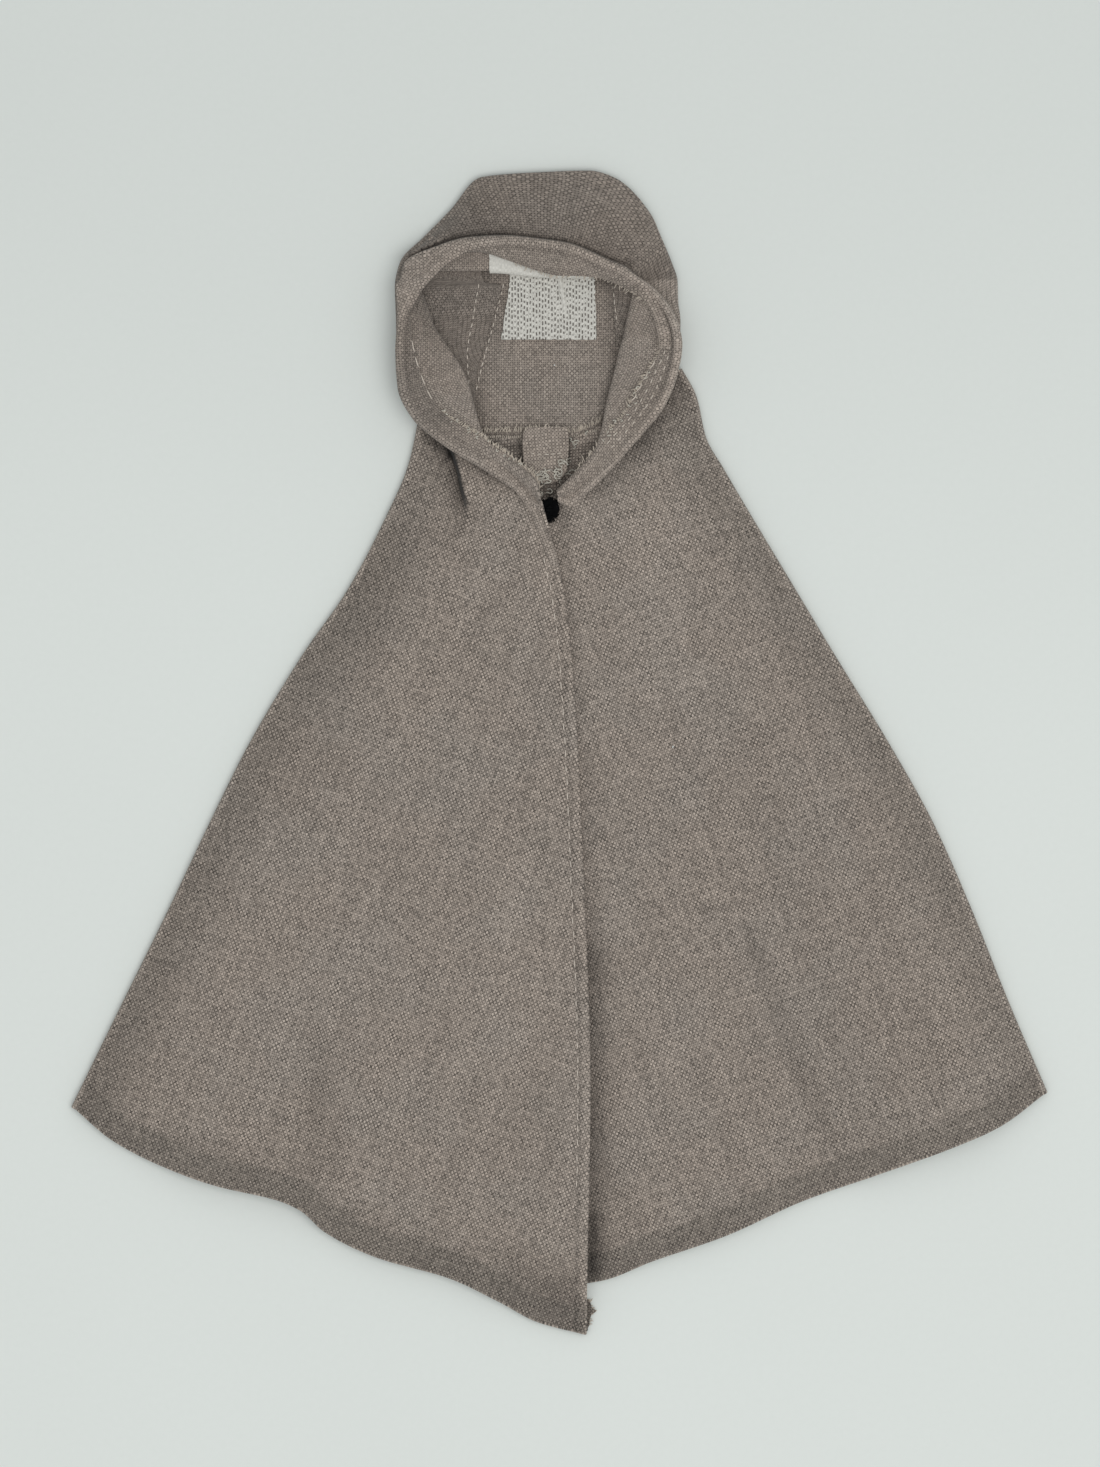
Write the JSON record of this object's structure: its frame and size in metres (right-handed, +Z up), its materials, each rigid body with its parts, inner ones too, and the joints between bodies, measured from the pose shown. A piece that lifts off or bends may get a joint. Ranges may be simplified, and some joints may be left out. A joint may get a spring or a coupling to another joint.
{
  "type": "doll's hooded poncho",
  "caption": "Doll-size hooded, front-opening poncho laid flat, its fronts lapped and snapped at the neck and its hood open upwards.",
  "frame": {"origin": "on the surface that the poncho lies on, under the middle of its bounding box", "axes": "+Z up from the surface, +Y towards the top of the hood, +X towards the front that lies underneath"},
  "size_m": [0.1756, 0.2098, 0.0078],
  "materials": {
    "taupe_cloth": "matt plain-weave cotton",
    "white_patch": "matt open cotton",
    "black_snap": "black enamel"
  },
  "bodies": {
    "root": {"back": "taupe_cloth", "front_left": "taupe_cloth", "front_right": "taupe_cloth", "hood_back": "taupe_cloth", "hood_band": "taupe_cloth", "patch": "white_patch", "neck_tab": "taupe_cloth", "snap_socket": "black_snap", "snap_ball": "black_snap"}
  },
  "joints": []
}
